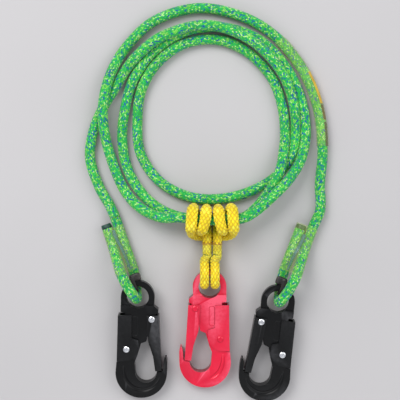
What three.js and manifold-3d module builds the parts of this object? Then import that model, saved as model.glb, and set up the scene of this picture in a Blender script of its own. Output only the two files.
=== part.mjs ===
// Rope positioning lanyard: a braided rope with a sewn eye and a double-locking snap hook at each
// end, and a friction-hitch cord with a third hook, lying loosely coiled on a table.
// Millimetres, +Z up, table at z = 0.
import * as THREE from "three";
import { mergeVertices } from "three/addons/utils/BufferGeometryUtils.js";
import Module from "manifold-3d";

const wasm = await Module();
wasm.setup();

// Driving dimensions
const ROPE_R = 6; // main rope radius
const ROPE_Z = 6.5; // height of the rope's centreline on the table
const LABEL_Z = 7.8; // height of the rope inside its label and clear sleeve
const ROPE_SIDES = 10;
const ROPE_STEPS = 80;
const CORD_R = 5.3; // hitch cord radius
const GAP = 0.3; // clearance between touching pieces
const ORIGIN_SHIFT = [-11.5, 116.3, -0.06]; // moves the layout so that the origin is under the fittings' centre

// Snap hook
const BODY_HALF = 6; // half thickness of the forged body
const EYE_HALF = 4; // half thickness of the captive eye
const EYE_HOLE_R = 12.5;
const EYE_RIM_R = 19;
const PLATE_IN = 6.3; // inner face of the gate's and lever's side plates
const PLATE_OUT = 8.1; // outer face of those plates
const RIVET_R = 2.2;
const RIVET_HEAD_R = 3.6;
const RIVET_HEAD = 1.0;
const GATE_PIVOT = [-16.2, -24.2];
const LEVER_PIVOT = [12, -59.2];
const SPRING_R = 3.9;
const SPRING_WIRE_R = 0.5;
const SPRING_POCKET_HALF = 3.5;
const SPRING_POCKET_R = 5.6;
const BOWL = { x: -5, y: -86.5, r: 29.2 };
const BOWL_INSIDE = { x: -10.3, y: -85.9, r: 12.2 };

// Where each hook's eye centre lies, its lean on the table, its tilt (the eye is propped up by the
// rope that passes under it) and which side its spine is on.
const TILT = THREE.MathUtils.degToRad(6.1);
const HOOKS = {
  left: { x: -70.2, y: -109.3, z: 18.4, lean: -1, spine: -1 },
  middle: { x: 10.8, y: -97.6, z: 18.4, lean: 0, spine: 1 },
  right: { x: 88, y: -114.4, z: 18.4, lean: -6.5, spine: 1 },
};

// Rope eyes: where the pair of legs starts, and the direction it runs in.
const EYES = {
  left: { x: -72.1, y: -109.9, dir: [-0.33, 0.944], out: -1 },
  right: { x: 90, y: -113.9, dir: [0.36, 0.933], out: 1 },
};
const LEG_OFFSET = 6.4;
const LEG_Z = 8.4; // height of the legs inside their sleeve
const SLEEVE_IN = 7.7; // the sleeve's inner radius round each leg
const END_GAP = 0.8; // between rope ends that face each other
const REAR_END = 92;
const FREE_START = REAR_END + END_GAP;
const THIMBLE_T = 1.1;
const SLEEVE_T = 0.5;

// Friction hitch
const HITCH = { x: 13.8, y: -22.5, bend: 400 };
const STRAND_LOW = 17.8; // height of the lower rope strand inside the hitch
const STRAND_HIGH = 30.2;
const WRAP_HALF = 12.5; // half width of a wrap's centreline
const CORD_Z = CORD_R + 0.1;
const WRAP_TOP = 42.7;

const COLOUR = {
  rope: 0x1fb84d,
  cord: 0xe8c400,
  red: 0xf0405a,
  black: 0x232325,
  silver: 0xc8c8cc,
  clear: 0xd8e6c8,
  teal: 0x0f5f66,
  label: 0xe0b000,
};

const object = new THREE.Group();
object.name = "rope_lanyard";
const layout = new THREE.Group();
layout.position.set(...ORIGIN_SHIFT);
object.add(layout);

function material(colour, roughness, metalness = 0) {
  return new THREE.MeshStandardMaterial({ color: colour, roughness, metalness });
}

function addMesh(group, name, geometry, look) {
  const mesh = new THREE.Mesh(geometry, look);
  mesh.name = name;
  group.add(mesh);
  return mesh;
}

// --- solids ---------------------------------------------------------------

function solidOf(geometry) {
  const bare = geometry.index ? geometry.toNonIndexed() : geometry.clone();
  bare.deleteAttribute("normal");
  bare.deleteAttribute("uv");
  const merged = mergeVertices(bare, 1e-4);
  return new wasm.Manifold(
    new wasm.Mesh({
      numProp: 3,
      vertProperties: merged.attributes.position.array,
      triVerts: new Uint32Array(merged.index.array),
    }),
  );
}

function geometryOf(solid) {
  const mesh = solid.getMesh();
  const geometry = new THREE.BufferGeometry();
  geometry.setAttribute("position", new THREE.BufferAttribute(mesh.vertProperties, 3));
  geometry.setIndex(new THREE.BufferAttribute(mesh.triVerts, 1));
  return geometry;
}

function cut(geometry, ...tools) {
  return geometryOf(tools.reduce((solid, tool) => solid.subtract(solidOf(tool)), solidOf(geometry)));
}

function geometryFrom(positions, index) {
  const geometry = new THREE.BufferGeometry();
  geometry.setAttribute("position", new THREE.Float32BufferAttribute(positions.flat(), 3));
  geometry.setIndex(index);
  return geometry;
}

// A flat outline given a thickness from z = low to z = high.
function plate(shape, low, high, curveSegments = 12) {
  const settings = { depth: high - low, bevelEnabled: false, curveSegments };
  return new THREE.ExtrudeGeometry(shape, settings).translate(0, 0, low);
}

function outline(points) {
  return new THREE.Shape(points.map(([x, y]) => new THREE.Vector2(x, y)));
}

// A round tube of solid material along a curve.
function roundTube(curve, radius, sides, steps) {
  const section = new THREE.Shape();
  for (let i = 0; i < sides; i += 1) {
    const angle = (2 * Math.PI * i) / sides;
    const point = [radius * Math.cos(angle), radius * Math.sin(angle)];
    if (i === 0) section.moveTo(...point);
    else section.lineTo(...point);
  }
  section.closePath();
  return new THREE.ExtrudeGeometry(section, { steps, extrudePath: curve, bevelEnabled: false });
}

// The band of faces between two closed rings of the same number of points.
function band(first, second, count, index) {
  for (let i = 0; i < count; i += 1) {
    const next = (i + 1) % count;
    index.push(first + i, first + next, second + next, first + i, second + next, second + i);
  }
}

// A thin-walled sleeve: outer and inner rings along its length, joined at both ends.
function sleeve(outer, inner) {
  const count = outer[0].length;
  const rows = outer.length;
  const positions = [...outer.flat(), ...inner.flat()];
  const index = [];
  for (let row = 0; row + 1 < rows; row += 1) {
    band(row * count, (row + 1) * count, count, index);
    band((rows + row + 1) * count, (rows + row) * count, count, index);
  }
  band(rows * count, 0, count, index);
  band((rows - 1) * count, (2 * rows - 1) * count, count, index);
  return facingOut(geometryFrom(positions, index));
}

function facingOut(geometry) {
  if (solidOf(geometry).volume() < 0) {
    const index = geometry.index.array;
    for (let i = 0; i < index.length; i += 3) [index[i], index[i + 1]] = [index[i + 1], index[i]];
  }
  return geometry;
}

// --- snap hooks -----------------------------------------------------------

function hookOutline() {
  const shape = new THREE.Shape();
  shape.moveTo(EYE_RIM_R, 0);
  shape.absarc(0, 0, EYE_RIM_R, 0, Math.PI, false);
  [[-18.5, -9.3], [-23.4, -13.5], [-23.2, -17.2], [-20, -19], [-21, -24], [-19, -28.5], [-14, -31]]
    .concat([[-10.6, -49.9], [-4.4, -52.5], [-0.3, -66.9], [2.8, -75], [1.9, -85]])
    .forEach((point) => shape.lineTo(...point));
  shape.absarc(BOWL_INSIDE.x, BOWL_INSIDE.y, BOWL_INSIDE.r, 0, Math.PI, true);
  [[-28.4, -84.9], [-29.7, -83.3], [-30.3, -73], [-31.5, -68.8], [-33.2, -68.4], [-34.3, -74]]
    .forEach((point) => shape.lineTo(...point));
  shape.absarc(BOWL.x, BOWL.y, BOWL.r, Math.PI, 0, false);
  [[23.2, -74.6], [19, -74], [16.4, -56], [13.6, -24], [14, -17.6], [19, -16.6]]
    .forEach((point) => shape.lineTo(...point));
  return shape;
}

function slab(x, y, width, height, low, high) {
  return new THREE.BoxGeometry(width, height, high - low).translate(x, y, (low + high) / 2);
}

function disc(x, y, radius, half, segments = 20) {
  return new THREE.CylinderGeometry(radius, radius, 2 * half, segments).rotateX(Math.PI / 2).translate(x, y, 0);
}

function hookBody() {
  const pocket = SPRING_POCKET_HALF;
  const size = 2 * SPRING_POCKET_R;
  return cut(
    plate(hookOutline(), -BODY_HALF, BODY_HALF),
    disc(0, 0, EYE_HOLE_R, BODY_HALF + 1, 36),
    slab(0, 8, 60, 34, EYE_HALF, BODY_HALF + 1),
    slab(0, 8, 60, 34, -BODY_HALF - 1, -EYE_HALF),
    disc(...GATE_PIVOT, RIVET_R + GAP, BODY_HALF + 1),
    disc(...LEVER_PIVOT, RIVET_R + GAP, BODY_HALF + 1),
    slab(GATE_PIVOT[0] - 4.4, GATE_PIVOT[1], size + 9, size, -pocket, pocket),
    slab(LEVER_PIVOT[0] + 4.4, LEVER_PIVOT[1], size + 9, size, -pocket, pocket),
  );
}

// A folded sheet channel: the outline at full width, less the space between its side plates.
function channel(points, spacePoints, pivot) {
  return cut(
    plate(outline(points), -PLATE_OUT, PLATE_OUT),
    plate(outline(spacePoints), -PLATE_IN, PLATE_IN),
    disc(...pivot, RIVET_R + GAP, PLATE_OUT + 1),
  );
}

function gateChannel() {
  const points = [[-24, -20], [-28.1, -83.4], [-20.9, -83.9], [-18.3, -66.9], [-12.4, -49.4], [-10.6, -20]];
  const space = [[-21.9, -10], [-26.9, -95], [10, -95], [10, -10]];
  return channel(points, space, GATE_PIVOT);
}

function leverChannel() {
  const points = [[6.4, -20.2], [6.2, -46], [-1.4, -48.6], [-2.2, -60], [0.4, -64.8], [4.3, -69], [9.4, -72.4]]
    .concat([[22.8, -73.2], [21.9, -20.2]]);
  const space = [[19.8, -10], [21.2, -85], [-40, -85], [-40, -10]];
  return channel(points, space, LEVER_PIVOT);
}

function rivet() {
  const top = PLATE_OUT + 0.2;
  const half = [[0, top + RIVET_HEAD], [2.4, top + RIVET_HEAD], [RIVET_HEAD_R, top + 0.3], [RIVET_HEAD_R, top]]
    .concat([[RIVET_R, top]]);
  const profile = half.concat(half.map(([r, z]) => [r, -z]).reverse());
  const points = profile.reverse().map(([r, z]) => new THREE.Vector2(r, z));
  return new THREE.LatheGeometry(points, 20).rotateX(Math.PI / 2);
}

// A torsion spring wound round its rivet, with one straight arm along the sheet.
function torsionSpring() {
  const points = [];
  const turns = 2.5;
  const perTurn = 12;
  for (let i = 0; i <= turns * perTurn; i += 1) {
    const angle = (2 * Math.PI * i) / perTurn;
    const z = -2.1 + (4.2 * i) / (turns * perTurn);
    points.push(new THREE.Vector3(SPRING_R * Math.cos(angle), SPRING_R * Math.sin(angle), z));
  }
  points.push(new THREE.Vector3(-SPRING_R, -SPRING_R, 2.3));
  const curve = new THREE.CatmullRomCurve3(points);
  return roundTube(curve, SPRING_WIRE_R, 5, 34);
}

function mirrored(geometry, spine) {
  if (spine > 0) return geometry;
  return facingOut(geometryOf(solidOf(geometry)).scale(-1, 1, 1));
}

function addHook(name, place, coat, rivetLook) {
  const hook = new THREE.Group();
  hook.position.set(place.x, place.y, place.z);
  hook.rotation.set(TILT, 0, THREE.MathUtils.degToRad(place.lean), "ZXY");
  layout.add(hook);
  const add = (piece, geometry, look) => addMesh(hook, name + "_" + piece, mirrored(geometry, place.spine), look);
  add("hook_body", hookBody(), coat);
  add("gate", gateChannel(), coat);
  add("lock_lever", leverChannel(), coat);
  add("gate_rivet", rivet().translate(...GATE_PIVOT, 0), rivetLook);
  add("lever_rivet", rivet().translate(...LEVER_PIVOT, 0), rivetLook);
  const steel = material(COLOUR.silver, 0.3, 1);
  add("gate_spring", torsionSpring().translate(...GATE_PIVOT, 0), steel);
  add("lever_spring", torsionSpring().rotateZ(Math.PI).translate(...LEVER_PIVOT, 0), steel);
}

const black = material(COLOUR.black, 0.4, 0.6);
const red = material(COLOUR.red, 0.35, 0.7);
const silver = material(COLOUR.silver, 0.3, 1);
addHook("left", HOOKS.left, black, silver);
addHook("middle", HOOKS.middle, red, red);
addHook("right", HOOKS.right, black, silver);

// --- sewn rope eyes -------------------------------------------------------

// A point of an eye: a along its legs, u outwards, z up.
function eyePoint(eye, a, u, z) {
  const [dx, dy] = eye.dir;
  const side = u * eye.out;
  return new THREE.Vector3(eye.x + a * dx + side * dy, eye.y + a * dy - side * dx, z);
}

// The rear leg lies on the table, the loop passes up through the hook's eye, and the front leg
// comes down over the eye's rim to lie beside the rear leg.
function eyeCurve(eye, rearEnd, frontEnd) {
  const loop = [
    [18, -4.5, 6.6], [9, -2.5, 7.4], [2, -1, 11.8], [-1.6, 0, 19.6], [2, 1, 27.4], [9, 2.5, 31.8], [18, 4.5, 32.6],
  ];
  const rear = [rearEnd, 76, 60, 45, 33].map((a) => [a, -LEG_OFFSET, LEG_Z]);
  const front = [32, 38, 45, 52, 60, 68, 76, frontEnd].map((a) => [a, LEG_OFFSET, frontHeight(a)]);
  const route = [...rear, ...loop, ...front];
  return new THREE.CatmullRomCurve3(route.map((point) => eyePoint(eye, ...point)), false, "centripetal");
}

// Height of the front leg above the table at distance a along the sleeve.
function frontHeight(a) {
  const t = THREE.MathUtils.smoothstep(a, 22, 76);
  return THREE.MathUtils.lerp(32, LEG_Z, t);
}

// The middle of the two legs at a, and the unit vectors across them and out of them, in (u, z).
function legSection(a) {
  const rise = frontHeight(a) - LEG_Z;
  const width = Math.hypot(2 * LEG_OFFSET, rise);
  return {
    middle: [0, LEG_Z + rise / 2],
    across: [(2 * LEG_OFFSET) / width, rise / width],
    half: width / 2,
  };
}

// Points of a slot-shaped ring round both legs, at distance r from their centrelines.
function legRing(eye, a, r) {
  const { middle, across, half } = legSection(a);
  const ring = [];
  const arcSteps = 8;
  for (const side of [1, -1]) {
    for (let i = 0; i <= arcSteps; i += 1) {
      const angle = -Math.PI / 2 + (Math.PI * i) / arcSteps;
      const along = side * (half + r * Math.cos(angle));
      const out = side * r * Math.sin(angle);
      const u = middle[0] + along * across[0] - out * across[1];
      const z = middle[1] + along * across[1] + out * across[0];
      ring.push(eyePoint(eye, a, u, z).toArray());
    }
  }
  return ring;
}

function eyeSleeve(eye, low, high) {
  const rows = 8;
  const stations = Array.from({ length: rows }, (_, i) => low + ((high - low) * i) / (rows - 1));
  return sleeve(
    stations.map((a) => legRing(eye, a, SLEEVE_IN + SLEEVE_T)),
    stations.map((a) => legRing(eye, a, SLEEVE_IN)),
  );
}

// The stitching lies in the groove between the legs, on the upper side.
function eyeStitching(eye, low, high) {
  const rows = 10;
  const ring = (a) => {
    const { middle, across } = legSection(a);
    return [[-1.9, 5.4], [1.9, 5.4], [1.9, 6.4], [-1.9, 6.4]].map(([along, out]) => {
      const u = middle[0] + along * across[0] - out * across[1];
      const z = middle[1] + along * across[1] + out * across[0];
      return eyePoint(eye, a, u, z).toArray();
    });
  };
  const rings = Array.from({ length: rows }, (_, i) => ring(low + ((high - low) * i) / (rows - 1)));
  const index = [0, 2, 1, 0, 3, 2];
  for (let row = 0; row + 1 < rows; row += 1) band(row * 4, (row + 1) * 4, 4, index);
  const last = (rows - 1) * 4;
  index.push(last, last + 1, last + 2, last, last + 2, last + 3);
  return facingOut(geometryFrom(rings.flat(), index));
}

// The thimble is a bent strip between the rope loop and the hook's rim.
function thimble(eye) {
  const loop = { a: 11.3, z: 19.6, r: 6 };
  const path = [[22, loop.z - loop.r], [loop.a, loop.z - loop.r]];
  const steps = 8;
  for (let i = 1; i < steps; i += 1) {
    const angle = -Math.PI / 2 - (Math.PI * i) / steps;
    path.push([loop.a + loop.r * Math.cos(angle), loop.z + loop.r * Math.sin(angle)]);
  }
  path.push([loop.a, loop.z + loop.r], [23, loop.z + loop.r]);
  const inset = path.map(([a, z]) => {
    const dx = a > loop.a ? 0 : a - loop.a;
    const dz = z - loop.z;
    const length = Math.hypot(dx, dz);
    return [a - (dx / length) * THIMBLE_T, z - (dz / length) * THIMBLE_T];
  });
  const shape = outline(path.concat(inset.reverse()));
  const width = 10;
  const strip = new THREE.ExtrudeGeometry(shape, { depth: width, bevelEnabled: false }).translate(0, 0, -width / 2);
  const [dx, dy] = eye.dir;
  const basis = new THREE.Matrix4().makeBasis(
    new THREE.Vector3(dx, dy, 0),
    new THREE.Vector3(0, 0, 1),
    new THREE.Vector3(dy, -dx, 0),
  );
  return strip.applyMatrix4(basis).translate(eye.x, eye.y, 0);
}

function sealedEnd(eye, a, u) {
  const curve = new THREE.LineCurve3(eyePoint(eye, a, u, LEG_Z), eyePoint(eye, a + 4.4, u, LEG_Z));
  return roundTube(curve, ROPE_R, 12, 1);
}

const ropeLook = material(COLOUR.rope, 0.8);
const clearLook = material(COLOUR.clear, 0.15);
const tealLook = material(COLOUR.teal, 0.7);
const tailEnd = 84;

function addEye(name, eye, rearEnd, frontEnd, sleeveRange) {
  const sealU = rearEnd < frontEnd ? -LEG_OFFSET : LEG_OFFSET;
  addMesh(layout, name + "_eye_rope", roundTube(eyeCurve(eye, rearEnd, frontEnd), ROPE_R, 12, 44), ropeLook);
  addMesh(layout, name + "_thimble", thimble(eye), black);
  addMesh(layout, name + "_stitching", eyeStitching(eye, sleeveRange[0] + 2, 80), tealLook);
  addMesh(layout, name + "_eye_sleeve", eyeSleeve(eye, ...sleeveRange), clearLook);
  addMesh(layout, name + "_tail_seal", sealedEnd(eye, tailEnd + END_GAP, sealU), tealLook);
}

addEye("left", EYES.left, REAR_END, tailEnd, [30, 83]);
addEye("right", EYES.right, tailEnd, REAR_END, [34, 90.5]);

// --- main rope ------------------------------------------------------------

const COIL = { x: 9.2, y: 97.75 };

function around(angle, radius, height = ROPE_Z) {
  const turn = THREE.MathUtils.degToRad(angle);
  return new THREE.Vector3(COIL.x + radius * Math.cos(turn), COIL.y + radius * Math.sin(turn), height);
}

// A point of a strand inside the hitch, where both strands bow slightly upwards.
function inHitch(dx, height) {
  return new THREE.Vector3(HITCH.x + dx, HITCH.y + (dx * dx) / HITCH.bend, height);
}

const ROPE_ROUTE = [
  eyePoint(EYES.left, FREE_START, -LEG_OFFSET, LEG_Z),
  new THREE.Vector3(-103.2, -6, 7),
  around(214, 149.5), around(200, 143.6), around(188, 132), around(176, 120), around(165, 111),
  around(150, 106.5, 8), around(138, 103.8, 14), around(120, 101.8, 17.4), around(90, 100, 18.6),
  around(60, 96.3, 17.2), around(30, 96, 15.2), around(8, 98, 11), around(-10, 101.5, 7),
  around(-26, 106.6), around(-45, 104.5), around(-72, 98.5), around(-100, 96.6), around(-125, 94.5),
  around(-150, 89), around(-175, 81), around(-200, 81), around(-225, 82.5), around(-250, 85),
  around(-275, 86), around(-300, 84.5), around(-330, 84), around(-355, 85.6), around(-375, 91),
  around(-388, 97, 11), around(-398, 103.5, 17.5), around(-410, 111, 17.8),
  inHitch(37, STRAND_LOW), inHitch(14, STRAND_LOW), inHitch(-12, STRAND_LOW), inHitch(-36, STRAND_LOW),
  around(-477, 121, 14.5), around(-490, 117.5, 9), around(-505, 111.5, 6.6), around(-522, 103), around(-540, 96),
  around(-565, 94), around(-590, 95), around(-615, 98), around(-640, 101), around(-665, 103.4),
  around(-690, 104.2), around(-712, 108), around(-732, 114, 7.5), around(-746, 117.5, 13),
  around(-757, 117.8, 20), around(-768, 117.8, 27),
  inHitch(38, STRAND_HIGH), inHitch(15, STRAND_HIGH), inHitch(-11, STRAND_HIGH), inHitch(-35, STRAND_HIGH),
  around(-834, 128.5, 25), around(-846, 131.5, 16), around(-858, 128.5, 9), around(-872, 122.5, 7.2),
  around(-886, 119.8, 12), around(-898, 119.3, 17.8), around(-910, 119.2, 17.8), around(-923, 120, 11),
  around(-938, 121), around(-960, 123.2), around(-985, 122), around(-1010, 118.2, LABEL_Z),
  around(-1030, 117.6, LABEL_Z), around(-1052, 119, LABEL_Z), around(-1070, 123.4, LABEL_Z),
  around(-1085, 129.5, LABEL_Z), around(-1100, 139, LABEL_Z), around(-1112, 150.5, LABEL_Z),
  new THREE.Vector3(137.2, -11.5, LABEL_Z),
  eyePoint(EYES.right, FREE_START, LEG_OFFSET, LEG_Z),
];

const ropeCurve = new THREE.CatmullRomCurve3(ROPE_ROUTE, false, "centripetal");
ropeCurve.arcLengthDivisions = 1200;
const ropeGeometry = roundTube(ropeCurve, ROPE_R, ROPE_SIDES, ROPE_STEPS);
addMesh(layout, "main_rope", ropeGeometry, ropeLook);

// A sleeve over the rope that follows the rope's own straight steps.
function ropeSleeve(firstStep, lastStep, inner, thickness) {
  const points = ropeCurve.getSpacedPoints(ROPE_STEPS);
  const frames = ropeCurve.computeFrenetFrames(ROPE_STEPS, false);
  const sides = 16;
  const ring = (step, radius) => {
    const low = Math.floor(step);
    const high = Math.min(low + 1, ROPE_STEPS);
    const mix = step - low;
    return Array.from({ length: sides }, (_, i) => {
      const angle = (2 * Math.PI * i) / sides;
      const normal = frames.normals[low].clone().lerp(frames.normals[high], mix).normalize();
      const side = frames.binormals[low].clone().lerp(frames.binormals[high], mix).normalize();
      const centre = points[low].clone().lerp(points[high], mix);
      return centre
        .addScaledVector(normal, radius * Math.cos(angle))
        .addScaledVector(side, radius * Math.sin(angle))
        .toArray();
    });
  };
  const stations = [firstStep];
  for (let step = Math.ceil(firstStep + 0.01); step < lastStep; step += 1) stations.push(step);
  stations.push(lastStep);
  return sleeve(
    stations.map((step) => ring(step, inner + thickness)),
    stations.map((step) => ring(step, inner)),
  );
}

addMesh(layout, "identification_label", ropeSleeve(74.7, 77.1, 6.45, 0.3), material(COLOUR.label, 0.4));
addMesh(layout, "label_sleeve", ropeSleeve(73, 77.2, 7.1, 0.4), clearLook);

// --- friction hitch -------------------------------------------------------

const HITCH_LEG = 5.8; // half distance between the two legs
const BRIDGE_Y = -19.5;
const EYE_SPREAD = 5.9;

// A point of the hitch cord: dx along the strands, dy across them, z up.
function hitchPoint(dx, dy, z) {
  return new THREE.Vector3(HITCH.x + dx, HITCH.y + dy + Math.min(dx * dx, 900) / HITCH.bend, z);
}

// Half of the hitch, from a leg to the middle of the bridge. The cord passes under both strands and
// over them twice, moving outwards, then lies along the table as the bridge.
function hitchHalf(side) {
  const w = WRAP_HALF;
  const low = CORD_Z;
  const high = WRAP_TOP;
  return [
    [HITCH_LEG, -38, 13.6], [HITCH_LEG, -30, 14.9], [HITCH_LEG, BRIDGE_Y, 16.4], [HITCH_LEG, -11.6, 12.2],
    [HITCH_LEG, 0, low], [6.2, 10, 9.5], [6.4, w, 18], [6.6, w, 30], [7, 9.5, 39.5],
    [8, 0, high], [10.5, -9.5, 39.5], [12, -w, 30], [14, -w, 18], [16, -9.6, 8.8], [17.5, 0, low],
    [19.3, 9.8, 8.8], [20.5, w, 18], [21.3, w, 30], [22.2, 9.5, 39.5],
    [23, 0, high], [23.6, -9.8, 39.5], [23.9, -w - 0.6, 30], [23.9, -14.6, 20], [22.5, -18, 10],
    [17, BRIDGE_Y, 5.8], [9, BRIDGE_Y, low],
  ].map(([dx, dy, z]) => hitchPoint(side * dx, dy, z));
}

const leftHalf = hitchHalf(-1);
const rightHalf = hitchHalf(1).reverse();
const hitchCurve = new THREE.CatmullRomCurve3(leftHalf.concat(rightHalf), false, "centripetal");
hitchCurve.arcLengthDivisions = 1200;
const cordLook = material(COLOUR.cord, 0.7);
addMesh(layout, "hitch_cord", roundTube(hitchCurve, CORD_R, 10, 120), cordLook);

// Each leg ends in a sewn eye: two plies of cord round the middle hook's rim. The upper ply comes
// over the rim, passes down through the hook's eye and returns under the rim as the lower ply.
function sewnEyeCurve(side) {
  const legX = HITCH.x + side * HITCH_LEG;
  const ringX = HOOKS.middle.x + side * EYE_SPREAD + 0.2;
  const ringY = HOOKS.middle.y;
  const start = HITCH.y - 38 - 2 * END_GAP;
  return new THREE.CatmullRomCurve3(
    [
      [legX, start, 13.4], [legX - side * 0.2, start - 4, 13.7], [ringX, ringY + 29.5, 18.2],
      [ringX, ringY + 24, 27], [ringX, ringY + 17.5, 31], [ringX, ringY + 10.6, 31],
      [ringX, ringY + 4.2, 27.2], [ringX, ringY + 2.1, 20], [ringX, ringY + 4.6, 12.8],
      [ringX, ringY + 12, 7.2], [ringX, ringY + 20, 5.8], [ringX, ringY + 28, CORD_Z],
    ].map((point) => new THREE.Vector3(...point)),
    false,
    "centripetal",
  );
}

for (const [name, side] of [["left", -1], ["right", 1]]) {
  addMesh(layout, "hitch_" + name + "_eye", roundTube(sewnEyeCurve(side), CORD_R, 10, 26), cordLook);
}

export default object;
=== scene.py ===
"""Rope positioning lanyard with three snap hooks and a friction hitch, laid out as a Blender add-on."""

import math

import bmesh
import bpy
import numpy as np
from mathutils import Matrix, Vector


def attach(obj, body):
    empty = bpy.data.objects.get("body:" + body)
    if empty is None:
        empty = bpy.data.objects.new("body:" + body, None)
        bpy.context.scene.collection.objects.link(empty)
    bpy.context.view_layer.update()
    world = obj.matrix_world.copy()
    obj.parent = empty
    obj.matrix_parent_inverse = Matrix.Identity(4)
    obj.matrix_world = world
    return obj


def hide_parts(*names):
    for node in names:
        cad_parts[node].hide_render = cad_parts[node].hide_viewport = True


bl_info = {
    "name": "Rope Lanyard",
    "version": (1, 0, 0),
    "blender": (4, 5, 0),
    "location": "3D View > Sidebar > Lanyard",
    "description": "Makes a coiled rope lanyard with snap hooks and a friction hitch",
    "category": "Add Mesh",
}

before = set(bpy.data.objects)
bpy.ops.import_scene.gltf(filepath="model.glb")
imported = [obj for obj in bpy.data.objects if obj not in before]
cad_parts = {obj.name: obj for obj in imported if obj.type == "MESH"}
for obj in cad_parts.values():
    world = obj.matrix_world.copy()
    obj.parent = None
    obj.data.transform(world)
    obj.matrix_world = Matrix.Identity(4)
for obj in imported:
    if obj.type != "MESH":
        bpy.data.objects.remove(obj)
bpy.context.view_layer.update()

HOOK_NAMES = ("left", "middle", "right")
SIDES = ("left", "right")
UP = np.array([0.0, 0.0, 1.0])

# The layout's own centre in the frame, and the middle of the coil in the layout.
SHIFT = np.array([-0.0115, 0.1163, -0.00006])
COIL = np.array([0.0092, 0.09775])
ROPE_Z = 0.0065
LABEL_Z = 0.0078
LEG_Z = 0.0084
LEG_OFFSET = 0.0064
REAR_END = 0.092
TAIL_END = 0.084
END_GAP = 0.0008
STRAND_LOW = 0.0178
STRAND_HIGH = 0.0302
HITCH = np.array([0.0138, -0.0225])
HITCH_BEND = 0.4
EYES = {
    "left": {"at": (-0.0721, -0.1099), "dir": (-0.33, 0.944), "out": -1},
    "right": {"at": (0.09, -0.1139), "dir": (0.36, 0.933), "out": 1},
}
SLEEVE_RANGE = {"left": (0.030, 0.083), "right": (0.034, 0.0905)}
MIDDLE_EYE = (0.0108, -0.0976)

# Points that each span of a path's curve is worked out at.
SPAN_STEPS = 40
# Rings along the free rope, and yarns that each raised cell of its braid holds each way.
ROPE_ROWS = 1840
YARN_BUNDLE = 2
# The hitch cord's cell length, ring spacing, relief and points round.
CORD_BRAID = (0.0056, 0.0007, 0.0009, 56)
# Where the label's bands and its clear sleeve lie along the rope, as parts of its length.
LABEL_BANDS = (
    ("label", 74.5 / 80, 75.7 / 80), ("label_maroon", 75.72 / 80, 76.3 / 80),
    ("label_dark", 76.32 / 80, 77.2 / 80),
)
LABEL_SLEEVE = (73.0 / 80, 77.2 / 80)
# Room between the rope's surface and the bands, and between it and the sleeve's inner wall.
LABEL_GAP = 0.00015
LABEL_SLEEVE_GAP = 0.0009
# Thickness of the clear film on the hitch cord.
FILM = 0.00022
# Powers of the humps along and across a strand of a braid, and fibre lines on it.
FLAT_HUMP = 0.3
ROUND_HUMP = 0.85
FIBRES_PER_CELL = 5
# Height of a groove's centre line above a hook's middle plane, and points in the red hook's groove.
GROOVE_HEIGHT = 0.0078
SHORT_GROOVE = 5
# Cosine above which a hook's face counts as square to the hook's axis.
LEVEL_COSINE = 0.9985


# --- paths ------------------------------------------------------------------


def spline(points, step):
    """Centripetal Catmull-Rom curve through the points, as points spaced evenly by about step.

    Each span between two points is a cubic whose knots grow with the square root of the chord.
    """
    p = np.asarray(points, float)
    p = np.vstack([2 * p[0] - p[1], p, 2 * p[-1] - p[-2]])
    p0, p1, p2, p3 = p[:-3, None], p[1:-2, None], p[2:-1, None], p[3:, None]
    spans = ((p0, p1), (p1, p2), (p2, p3))
    knots = [np.linalg.norm(b - a, axis=2, keepdims=True) ** 0.5 for a, b in spans]
    t1 = knots[0]
    t2 = t1 + knots[1]
    t3 = t2 + knots[2]
    t = t1 + np.linspace(0, 1, SPAN_STEPS, endpoint=False)[None, :, None] * (t2 - t1)
    a1 = (t1 - t) / t1 * p0 + t / t1 * p1
    a2 = (t2 - t) / (t2 - t1) * p1 + (t - t1) / (t2 - t1) * p2
    a3 = (t3 - t) / (t3 - t2) * p2 + (t - t2) / (t3 - t2) * p3
    b1 = (t2 - t) / t2 * a1 + t / t2 * a2
    b2 = (t3 - t) / (t3 - t1) * a2 + (t - t1) / (t3 - t1) * a3
    dense = ((t2 - t) / (t2 - t1) * b1 + (t - t1) / (t2 - t1) * b2).reshape(-1, 3)
    return even(np.vstack([dense, p[-2]]), step)


def even(points, step):
    """The same path with points at equal distances along it."""
    along = np.concatenate([[0], np.cumsum(np.linalg.norm(np.diff(points, axis=0), axis=1))])
    count = max(int(round(along[-1] / step)), 2)
    at = np.linspace(0, along[-1], count + 1)
    return np.stack([np.interp(at, along, points[:, i]) for i in range(3)], axis=1)


def carried_frames(path):
    """Tangent, normal and binormal at each point, the normal carried along without twisting.

    From one point to the next the normal loses only its part along the new tangent.
    """
    tangent = np.gradient(path, axis=0)
    tangent /= np.linalg.norm(tangent, axis=1, keepdims=True)
    normal = np.empty_like(path)
    seed = np.cross(tangent[0], UP)
    seed = seed if np.linalg.norm(seed) > 0.1 else np.cross(tangent[0], [1.0, 0.0, 0.0])
    current = seed / np.linalg.norm(seed)
    for i, along in enumerate(tangent):
        current = current - along * np.dot(current, along)
        current = current / np.linalg.norm(current)
        normal[i] = current
    return tangent, normal, np.cross(tangent, normal)


def around(angle, radius, height=ROPE_Z):
    """A point of the coil from its polar angle in degrees, its radius and its height."""
    turn = math.radians(angle)
    return [COIL[0] + radius * math.cos(turn), COIL[1] + radius * math.sin(turn), height]


def in_hitch(dx, height):
    """A point of a strand inside the hitch, where the strands bow slightly."""
    return [HITCH[0] + dx, HITCH[1] + dx * dx / HITCH_BEND, height]


def eye_point(side, a, u, z):
    """A point of a sewn eye: a along its legs, u outwards, z up."""
    eye = EYES[side]
    dx, dy = eye["dir"]
    across = u * eye["out"]
    return [eye["at"][0] + a * dx + across * dy, eye["at"][1] + a * dy - across * dx, z]


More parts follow.
